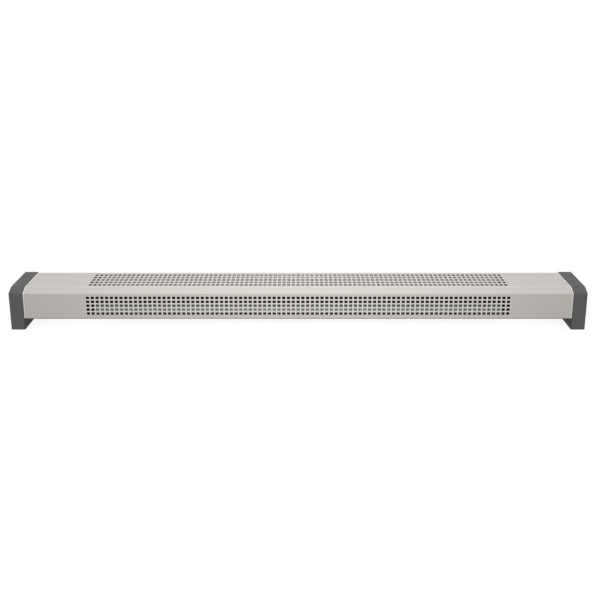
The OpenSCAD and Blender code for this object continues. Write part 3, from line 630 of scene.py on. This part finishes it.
OWN = {"base_tray": tray_finish, "heat_shield": shield_finish, "element_body": element_finish,
       "partition_left": partition_finish, "partition_right": partition_finish,
       "element_bushes": bush_finish}
MADE = {}


def finish_of(slot):
    """The finish of a slot, made once."""
    if slot not in MADE:
        MADE[slot] = (earth_finish() if slot == "earth_lead"
                      else finish(slot + "_finish", *FINISHES[slot]))
    return MADE[slot]


# ---- pieces ----

def row_edges(first, pitch, rows, hole):
    """Both edges of each row of holes, in rising order."""
    return sorted(first + row * pitch + side * hole / 2 for row in range(rows) for side in (-1, 1))


def between(value, edges):
    """Whether a value lies inside one of the spans that pairs of edges make."""
    return any(a < value < b for a, b in zip(edges[::2], edges[1::2]))


def on_edge(value, edges):
    """Whether a value lies on one of the edges."""
    return min(abs(value - edge) for edge in edges) < NEAR


def at_x(x):
    """A test for edges that lie at one place along the heater."""
    return lambda e: all(abs(p.co.x - x) < NEAR for p in e.verts)


class HEATER_OT_casing(bpy.types.Operator):
    """Folds one column of the casing's sheet along its section, punches it and repeats it"""
    bl_idname = "heater.casing"
    bl_label = "Casing"
    fold_steps = 5
    # width of the outermost face at each end, and the distance within which columns are welded
    end_band, weld = 2 * MM, 0.002 * MM

    def execute(self, context):
        v = context.scene.heater_casing
        front, back, low, top = CASE_LOW.y, CASE_HIGH.y, CASE_LOW.z, CASE_HIGH.z
        corners = [(front + v.lip, low), (front, low), (front, top - v.rise), (front + v.run, top),
                   (back, top), (back, top - v.back_lip)]
        bends = [arc(*corners[i - 1:i + 2], v.fold, self.fold_steps) for i in range(1, 5)]
        edges_z = row_edges(top - v.rise - v.front_margin, -v.pitch_front, v.rows, v.hole_h)
        edges_y = row_edges(front + v.run + v.top_margin, v.pitch_top, v.rows, v.hole_d)
        half = v.columns * v.pitch_x / 2
        hole = [v.pitch_x / 2 - half + side * v.hole_w / 2 for side in (-1, 1)]

        start = bends[0][0]
        ob = self.strip(v, half, corners[0], start, hole)
        pick("EDGE", lambda e: all(abs(p.co.y - start.x) < NEAR for p in e.verts))
        here = start
        for point in (*bends[0][1:], *[(front, z) for z in edges_z], *bends[1], *bends[2],
                      *[(y, top) for y in edges_y], *bends[3], corners[5]):
            point = Vector(point)
            pull(0.0, *(point - here))
            here = point

        def meets(part, test):
            """Whether a part of the front or top passes a test against the holes' edges."""
            p = middle(part)
            if not test(p.x, hole):
                return False
            if abs(p.y - front) < NEAR:
                return test(p.z, edges_z)
            return abs(p.z - top) < NEAR and test(p.y, edges_y)

        pick("FACE", lambda f: meets(f, between))
        bpy.ops.mesh.delete(type="ONLY_FACE")
        pick("VERT", lambda p: meets(p, on_edge))
        bpy.ops.mesh.bevel(offset=v.corner, segments=2, affect="VERTICES")
        modify(ob, "ARRAY", count=v.columns, use_relative_offset=False, use_constant_offset=True,
               constant_offset_displace=(v.pitch_x, 0.0, 0.0), use_merge_vertices=True,
               merge_threshold=self.weld)
        edit(ob)
        for side in (-1, 1):
            pick("EDGE", at_x(side * half))
            pull(side * (CASE_HIGH.x - half - self.end_band))
            pull(side * self.end_band)
        bpy.ops.mesh.select_all(action="SELECT")
        bpy.ops.mesh.normals_make_consistent(inside=False)
        mesh = bmesh.from_edit_mesh(ob.data)
        if max(mesh.faces, key=lambda f: middle(f).z).normal.z < 0:
            bpy.ops.mesh.flip_normals()

        def share_of(p):
            """How strongly a painted highlight lightens the paint at a place."""
            if abs(p.x) < half and abs(p.y - front) < NEAR and edges_z[0] < p.z < edges_z[-1]:
                return v.front_web_highlight
            if abs(p.x) < half and abs(p.z - top) < NEAR and edges_y[0] < p.y < edges_y[-1]:
                return v.top_web_highlight
            on_fold = p.z > top - v.fold and bends[2][0].x < p.y < bends[2][-1].x
            return v.fold_highlight if on_fold else 0.0

        # painted highlight: each face keeps how far its paint is lightened
        mesh = bmesh.from_edit_mesh(ob.data)
        light = mesh.faces.layers.float.new("light")
        for face in mesh.faces:
            face[light] = share_of(middle(face))
        bmesh.update_edit_mesh(ob.data)
        modify(ob, "SOLIDIFY", thickness=v.sheet, offset=-1.0, use_even_offset=True)
        modify(ob, "BEVEL", width=v.soft, segments=1, limit_method="ANGLE",
               angle_limit=math.radians(60), use_clamp_overlap=False)
        smooth(ob, 50.0)
        hand_in(ob, paint_finish(v), "casing_paint", "casing")
        return {"FINISHED"}

    def strip(self, v, half, corner, start, hole):
        """The first flat of one column, under the front, parted at the holes' sides."""
        rest()
        bpy.ops.mesh.primitive_plane_add(size=1.0, location=(
            v.pitch_x / 2 - half, (corner[0] + start.x) / 2, corner[1]))
        ob = bpy.context.object
        ob.name = "casing_shell"
        ob.scale = (v.pitch_x, corner[0] - start.x, 1.0)
        settle(ob)
        edit(ob)
        for x in hole:
            bpy.ops.mesh.select_all(action="SELECT")
            bpy.ops.mesh.bisect(plane_co=(x, 0.0, 0.0), plane_no=(1.0, 0.0, 0.0))
        return ob


class HEATER_OT_end_caps(bpy.types.Operator):
    """Models the right end cap with its hollow leg, spigot and screw recesses, and mirrors it"""
    bl_idname = "heater.end_caps"
    bl_label = "End caps"
    # how far a cut overruns, and how far bosses and ribs stay short of the outer faces
    over, short = MM, MM
    # length outside the cap, wall and length inside the cap of the spigot
    spigot_l, spigot_t, spigot_in = 8 * MM, 2 * MM, 2 * MM
    # radii of a screw's bore and post, and how far the post stays short of the outer face
    bore_r, post_r, post_short = 2.3 * MM, 4.5 * MM, 2 * MM
    # radius and depth of a foot pad's seat, and radius of the post above it
    seat_r, seat_deep, pad_post_r = 6.1 * MM, 1.5 * MM, 8.5 * MM
    # place as a share of the depth, half the thickness and height above the cap's foot of a rib
    rib_share, rib_half, rib_up = 0.08, 0.9 * MM, 3 * MM
    # how much wider a recess gets outwards, width of softened edges, and steps of rounded ones
    flare, softened, steps = 0.3 * MM, 0.25 * MM, 5

    def execute(self, context):
        v = context.scene.heater_cap
        x0, x1 = CASE_HIGH.x, CAP_HIGH.x
        front, back, low, top = CAP_LOW.y, CAP_HIGH.y, CAP_LOW.z, CAP_HIGH.z
        slope = (front, top - SLOPE_RISE)
        screws = [spot for spot, way in screw_places("cap_screws") if spot.x > 0]
        pads = [side * PAD_SHARE * DEEP for side in (-1, 1)]
        ob = house("end_cap_right_shell", x0, x1, front, back, low, top, slope)
        edit(ob)
        pick("EDGE", lambda e: abs(e.verts[0].co.x - e.verts[1].co.x) > (x1 - x0) / 2)
        bpy.ops.mesh.bevel(offset=v.outline, segments=self.steps, affect="EDGES")
        pick("EDGE", at_x(x1))
        bpy.ops.mesh.bevel(offset=v.end, segments=self.steps, affect="EDGES")
        pick("EDGE", at_x(x0))
        bpy.ops.mesh.bevel(offset=v.inner, segments=2, affect="EDGES")
        rest()

        carve(ob, house("hollow", x0 - self.over, x1 - v.wall, front + v.wall, back - v.wall,
                        v.web + v.wall, top - v.wall, slope, v.wall))
        carve(ob, box_from("leg_hollow", (x0 + v.wall, front + v.wall, low - self.over),
                           (x1 - v.wall, back - v.wall, v.web)))
        for spot in screws:
            self.along(ob, "boss", v.recess / 2 + v.wall, spot, x1 - v.deep - v.wall,
                       x1 - self.short, "UNION", 48)
            self.along(ob, "post", self.post_r, spot, x0 - self.spigot_l, x1 - self.post_short,
                       "UNION")
        for y in pads:
            carve(ob, rod("pad_post", self.pad_post_r, (x0 + PAD_IN, y, low),
                          (0, 0, v.web - low + self.over), 40), "UNION")
        for share in (-self.rib_share, self.rib_share):
            carve(ob, box_from("rib", (x0 + self.short, share * DEEP - self.rib_half,
                                       low + self.rib_up),
                               (x1 - self.short, share * DEEP + self.rib_half,
                                v.web + self.over)), "UNION")
        carve(ob, self.spigot(x0), "UNION")
        for spot in screws:
            self.along(ob, "bore", self.bore_r, spot, x0 - self.spigot_l - 2 * self.over,
                       x1 + 2 * self.over)
            self.along(ob, "recess", v.recess / 2, spot, x1 - v.deep, x1 + self.over, sides=48,
                       tip=v.recess / 2 + self.flare)
        for y in pads:
            carve(ob, rod("pad_seat", self.seat_r, (x0 + PAD_IN, y, low - self.over),
                          (0, 0, self.over + self.seat_deep), 40))
        tidy(ob)
        modify(ob, "BEVEL", width=self.softened, segments=2, limit_method="ANGLE",
               angle_limit=math.radians(50), use_clamp_overlap=True)
        smooth(ob, 50.0, flat=30 * MM * MM)
        # an edge share of 0.6 over 1.1 mm darkens the plastic where the surface turns: painted
        # shade along the cap's edges
        plastic = finish("cap_plastic_finish", v.plastic, rough=(0.52, 0.64), shade=(0.94, 1.05),
                         broad=30.0, grain=2600.0, relief=0.07 * MM, gloss=0.1, edge=0.6,
                         edge_w=1.1 * MM)
        # painted shade on the inner side of the leg and the faces next to the casing
        inner_side_shade = fade(plastic.node_tree, "X", x0 + 2 * v.inner, x0 + v.inner, True)
        recolour(plastic, inner_side_shade, v.shade)
        left = twin(ob, "end_cap_left_shell", Matrix.Scale(-1, 4, (1, 0, 0)))
        hand_in(ob, plastic, "cap_plastic", "end_cap_right")
        hand_in(left, plastic, "cap_plastic", "end_cap_left")
        return {"FINISHED"}

    def along(self, ob, name, radius, spot, x0, x1, operation="DIFFERENCE", sides=32, tip=None):
        """Carves or adds a round bar from one place along the heater to another."""
        bar = rod(name, radius, (x0, spot.y, spot.z), (x1 - x0, 0, 0), sides, tip)
        carve(ob, bar, operation)

    def spigot(self, x0):
        """The ring that fits inside the casing and over the tray."""
        inside_slope = (CASE_LOW.y, CASE_HIGH.z - SLOPE_RISE)
        skin = SHEET + FIT
        front, back = CASE_LOW.y + skin, CASE_HIGH.y - SHEET - skin
        low, top = TRAY_TOP + FIT, CASE_HIGH.z - skin
        wall = self.spigot_t
        ring = house("spigot", x0 - self.spigot_l, x0 + self.spigot_in, front, back, low, top,
                     inside_slope, skin)
        carve(ring, house("spigot_bore", x0 - self.spigot_l - self.over,
                          x0 + self.spigot_in + self.over, front + wall, back - wall, low + wall,
                          top - wall, inside_slope, skin + wall))
        return ring


def loose_parts(mesh):
    """The places of the vertices of each separate part of a mesh."""
    seen, parts = set(), []
    for vert in mesh.verts:
        if vert in seen:
            continue
        part, queue = [], [vert]
        seen.add(vert)
        while queue:
            here = queue.pop()
            part.append(here.co.copy())
            new = [e.other_vert(here) for e in here.link_edges if e.other_vert(here) not in seen]
            seen.update(new)
            queue += new
        parts.append(part)
    return parts


def screw_places(node, merge=0.001 * MM, head_share=0.45):
    """Seat and direction into the work of each screw of a node, read from its solids."""
    mesh = bmesh.new()
    mesh.from_mesh(NODES[node].data)
    bmesh.ops.remove_doubles(mesh, verts=mesh.verts, dist=merge)
    parts = loose_parts(mesh)
    mesh.free()
    places = []
    for part in parts:
        low, high = (Vector([pick_from(p[i] for p in part) for i in range(3)])
                     for pick_from in (min, max))
        centre, size = (low + high) / 2, high - low
        width = sorted(size)[1]
        axis = max(range(3), key=lambda i: abs(size[i] - width))
        across = Vector([float(i != axis) for i in range(3)])
        head = [p[axis] for p in part if ((p - centre) * across).length > head_share * width]
        sign = 1.0 if sum(head) / len(head) < centre[axis] else -1.0
        way = Vector([sign if i == axis else 0.0 for i in range(3)])
        spot = centre.copy()
        spot[axis] = max(x * sign for x in head) * sign
        places.append((spot, way))
    return sorted(places, key=lambda c: tuple(round(a, 5) for a in c[0]))


# heights on a screw's head, as shares of its height: its rounding and the ends of the cross
ROUND_SHARE, CROSS_TOP_SHARE, CROSS_MIDDLE_SHARE, CROSS_FOOT_SHARE = 0.62, 1.2, 0.5, 0.28
# half the length and width of the cross as shares of the head's width, and its foot as shares of it
CROSS_LONG_SHARE, CROSS_WIDE_SHARE, CROSS_TAPER_SHARES = 0.29, 0.055, (0.35, 0.8, 1.0)
# pitch, half a groove, root, point and tip of the thread, as shares of the shank's width
TURN_SHARE, FLANK_SHARE, ROOT_SHARE, POINT_SHARE, TIP_SHARE = 0.35, 0.1, 0.84, 0.4, 0.25
# how far the shank reaches into the head, where the thread starts, and the softened edges
SHANK_SUNK, THREAD_FROM, SCREW_SOFT = 0.2 * MM, 0.5 * MM, 0.07 * MM


def pan_screw(name, head, head_h, shank, long):
    """A pan head screw with a crossed recess; its shank points up from the seat at zero."""
    ob = rod(name, head / 2, (0, 0, -head_h), (0, 0, head_h), 40)
    edit(ob)
    pick("EDGE", lambda e: all(abs(p.co.z + head_h) < NEAR for p in e.verts))
    bpy.ops.mesh.bevel(offset=head_h * ROUND_SHARE, segments=5, affect="EDGES", profile=0.55)
    rest()
    arm_l, arm_w = CROSS_LONG_SHARE * head, CROSS_WIDE_SHARE * head
    cross = []
    for turn in (0.0, math.pi / 2):
        arm = box_from("arm", (-arm_l, -arm_w, -head_h * CROSS_TOP_SHARE),
                       (arm_l, arm_w, -head_h * CROSS_FOOT_SHARE))
        edit(arm)
        pick("FACE", lambda f: middle(f).z > -head_h * CROSS_MIDDLE_SHARE)
        bpy.ops.transform.resize(value=CROSS_TAPER_SHARES, center_override=(0.0, 0.0, 0.0))
        rest()
        arm.rotation_euler.z = turn
        settle(arm)
        cross.append(arm)
    for arm in cross:
        carve(ob, arm)
    point = POINT_SHARE * shank
    turns = max(3, int(long / (TURN_SHARE * shank)))
    thread = rod(name + "_shank", shank / 2, (0, 0, -SHANK_SUNK),
                 (0, 0, long + SHANK_SUNK - point), 20)
    edit(thread)
    for i in range(turns):
        z = THREAD_FROM + (long - point - 2 * THREAD_FROM) * i / (turns - 1)
        for share in (-FLANK_SHARE, 0.0, FLANK_SHARE):
            bpy.ops.mesh.select_all(action="SELECT")
            bpy.ops.mesh.bisect(plane_co=(0, 0, z + share * shank), plane_no=(0, 0, 1))
        pick("VERT", lambda p: abs(p.co.z - z) < NEAR)
        bpy.ops.transform.resize(value=(ROOT_SHARE, ROOT_SHARE, 1.0), center_override=(0.0, 0.0, z))
    pick("FACE", lambda f: middle(f).z > long - point - NEAR)
    pull(0, 0, point)
    bpy.ops.transform.resize(value=(TIP_SHARE, TIP_SHARE, 1.0), center_override=(0.0, 0.0, long))
    rest()
    carve(ob, thread, "UNION")
    modify(ob, "BEVEL", width=SCREW_SOFT, segments=1, limit_method="ANGLE",
           angle_limit=math.radians(45), use_clamp_overlap=True)
    smooth(ob, 35.0)
    return ob


# width and height of each screw's head, then width and length of its shank, in millimetres
SCREWS = {
    "cap_screws": (7.5, 2.2, 4.0, 37.0), "lip_screws": (6.5, 1.7, 3.5, 6.0),
    "back_screws": (6.5, 1.7, 3.5, 6.0), "tray_screws": (5.4, 1.6, 3.0, 6.0),
    "cutout_screws": (5.4, 1.6, 3.0, 6.0), "block_screws": (5.4, 1.6, 3.0, 16.0),
}


class HEATER_OT_screws(bpy.types.Operator):
    """Models each size of screw once and sets a copy at every place"""
    bl_idname = "heater.screws"
    bl_label = "Screws"
    # how the cross of the first screw is turned, and each further one from the one before
    first_turn, next_turn = math.radians(17.0), math.radians(53.0)

    def execute(self, context):
        masters = {}
        for node, sizes in SCREWS.items():
            if sizes not in masters:
                masters[sizes] = pan_screw(f"screw_{len(masters)}", *[size * MM for size in sizes])
            copies = []
            for i, (spot, way) in enumerate(screw_places(node)):
                turn = Matrix.Rotation(self.first_turn + self.next_turn * i, 4, "Z")
                lean = way.to_track_quat("Z", "Y").to_matrix().to_4x4()
                copies.append(twin(masters[sizes], f"{node}_{i}",
                                   Matrix.Translation(spot) @ lean @ turn))
            hand_in(join(node + "_set", copies), finish_of("zinc_steel"), "zinc_steel", node)
        for master in masters.values():
            bpy.data.objects.remove(master)
        return {"FINISHED"}


class HEATER_OT_foot_pads(bpy.types.Operator):
    """Models a rubber pad with a ringed sole and sets one under each corner"""
    bl_idname = "heater.foot_pads"
    bl_label = "Foot pads"
    radius, softened = 6 * MM, 0.18 * MM
    # steps of the sole from its rim inwards: width and height of each, in millimetres
    sole = ((1.6, 0), (0.25, 0.35), (0.6, 0), (0.25, -0.35), (1.0, 0), (0.25, 0.35), (0.6, 0))

    def execute(self, context):
        height = PAD_HIGH.z - PAD_LOW.z
        half = CASE_HIGH.x + PAD_IN
        pads = []
        for x in (-half, half):
            for y in (-PAD_SHARE * DEEP, PAD_SHARE * DEEP):
                ob = rod("pad", self.radius, (x, y, 0), (0, 0, height), 48)
                edit(ob)
                pick("FACE", lambda f: middle(f).z < NEAR)
                for inset, rise in self.sole:
                    bpy.ops.mesh.inset(thickness=inset * MM, depth=0.0)
                    if rise:
                        bpy.ops.transform.translate(value=(0, 0, rise * MM))
                rest()
                pads.append(ob)
        ob = join("foot_pads_set", pads)
        modify(ob, "BEVEL", width=self.softened, segments=2, limit_method="ANGLE",
               angle_limit=math.radians(40), use_clamp_overlap=True)
        smooth(ob, 40.0)
        hand_in(ob, finish_of("black_rubber"), "black_rubber", "foot_pads")
        return {"FINISHED"}


class HEATER_OT_finishes(bpy.types.Operator):
    """Gives every carried-over node the finish of its slot"""
    bl_idname = "heater.finishes"
    bl_label = "Finishes"

    def execute(self, context):
        slots = {p["node"]: p["material_slot"] for p in frame["record"]["subparts"]}
        for node, ob in NODES.items():
            if ob.hide_render:
                continue
            ob.data.materials.clear()
            # painted shade: the element supports take the dark heat-tinted finish instead of their
            # own slot's, so they show dark through the holes
            look = "heat_tinted_steel" if node == "element_supports" else slots[node]
            ob.data.materials.append(OWN[node]() if node in OWN else finish_of(look))
        return {"FINISHED"}


class HEATER_OT_studio(bpy.types.Operator):
    """Lays the pale floor, sets the lamps and places the camera"""
    bl_idname = "heater.studio"
    bl_label = "Studio"
    # width of the camera's sensor in millimetres, and how far it sees
    sensor, reach = 36.0, 60.0
    # size and depth under the pads of the floor, its grey and how much of its white is its own
    floor_size, floor_drop, floor_grey, floor_glow = 14.0, 0.2 * MM, 0.22, 0.85
    # place of each lamp, then its length and width, and the place that both shine on
    key_lamp = (0.0, -0.73, 0.6), (0.5, 0.3)
    back_lamp = (0.0, 1.3, 0.9), (1.6, 0.6)
    lit = Vector((0.0, 0.0, 0.05))

    def execute(self, context):
        v = context.scene.heater_studio
        rest()
        bpy.ops.mesh.primitive_plane_add(size=self.floor_size, location=(0, 0, -self.floor_drop))
        floor = bpy.context.object
        floor.name = "floor"
        settle(floor)
        floor.data.materials.append(self.pale_floor())
        self.pale_world(v.ambient)
        self.lamp("key_lamp", *self.key_lamp, v.key)
        self.lamp("back_lamp", *self.back_lamp, v.back)
        bpy.ops.object.camera_add(location=(v.aside, CAD_BOX[0][1] - v.distance, v.height),
                                  rotation=(math.pi / 2 - v.pitch, 0.0, 0.0))
        camera = bpy.context.object
        camera.data.sensor_width = self.sensor
        camera.data.lens = v.lens / MM
        camera.data.shift_y = v.shift
        camera.data.clip_end = self.reach
        context.scene.camera = camera
        context.scene.view_settings.view_transform = "Standard"
        rest()
        return {"FINISHED"}

    def lamp(self, name, place, size, power):
        """A rectangular lamp that shines on the heater and isn't seen."""
        bpy.ops.object.light_add(type="AREA", location=place)
        lamp = bpy.context.object
        lamp.name = name
        lamp.data.shape = "RECTANGLE"
        lamp.data.size, lamp.data.size_y = size
        lamp.data.energy = power
        lamp.visible_camera = False
        lamp.rotation_euler = (self.lit - Vector(place)).to_track_quat("-Z", "Y").to_euler()

    def seen(self, tree):
        """1 on rays that show the background, 0 on rays that light the object."""
        rays = tree.nodes.new("ShaderNodeLightPath").outputs
        shown = combine(tree, "MAXIMUM", rays["Is Camera Ray"], rays["Is Glossy Ray"])
        return combine(tree, "MAXIMUM", shown, rays["Is Transmission Ray"])

    def pale_floor(self):
        """White to the camera, grey where it lights the heater and takes its shadow."""
        mat = bpy.data.materials.new("floor_white")
        mat.use_nodes = True
        tree = mat.node_tree
        shader = tree.nodes["Principled BSDF"]
        shader.inputs["Base Color"].default_value = (*[self.floor_grey] * 3, 1.0)
        shader.inputs["Roughness"].default_value = 1.0
        shader.inputs["Specular IOR Level"].default_value = 0.0
        shader.inputs["Emission Color"].default_value = (1.0, 1.0, 1.0, 1.0)
        glow = ramp(tree, self.seen(tree), 0.0, self.floor_glow)
        tree.links.new(glow, shader.inputs["Emission Strength"])
        return mat

    def pale_world(self, ambient):
        """White to the camera, dimmer where it lights the heater."""
        world = bpy.data.worlds.new("studio")
        bpy.context.scene.world = world
        world.use_nodes = True
        tree = world.node_tree
        sky = tree.nodes["Background"]
        sky.inputs["Color"].default_value = (1.0, 1.0, 1.0, 1.0)
        tree.links.new(ramp(tree, self.seen(tree), ambient, 1.0), sky.inputs["Strength"])


OPERATORS = (HEATER_OT_casing, HEATER_OT_end_caps, HEATER_OT_screws, HEATER_OT_foot_pads,
             HEATER_OT_finishes, HEATER_OT_studio)


class HEATER_PT_pieces(bpy.types.Panel):
    """Lists the steps that build the heater"""
    bl_idname = "HEATER_PT_pieces"
    bl_label = "Heater"
    bl_space_type = "VIEW_3D"
    bl_region_type = "UI"
    bl_category = "Heater"

    def draw(self, context):
        for name in GROUPS:
            group = getattr(context.scene, name)
            for key in group.bl_rna.properties.keys():
                if key not in ("rna_type", "name"):
                    self.layout.prop(group, key)
        for step in OPERATORS:
            self.layout.operator(step.bl_idname)


GROUPS = {"heater_casing": HeaterCasingValues, "heater_cap": HeaterCapValues,
          "heater_studio": HeaterStudioValues}


def register():
    """Adds the values, steps and panel."""
    for kind in (*GROUPS.values(), *OPERATORS, HEATER_PT_pieces):
        bpy.utils.register_class(kind)
    for key, kind in GROUPS.items():
        setattr(bpy.types.Scene, key, PointerProperty(type=kind))


def unregister():
    """Takes the values, steps and panel out again."""
    for key in GROUPS:
        delattr(bpy.types.Scene, key)
    for kind in (HEATER_PT_pieces, *reversed(OPERATORS), *GROUPS.values()):
        bpy.utils.unregister_class(kind)


def main():
    """Builds every piece in order."""
    register()
    for step in OPERATORS:
        getattr(bpy.ops.heater, step.bl_idname.split(".")[1])()


if __name__ == "__main__":
    main()
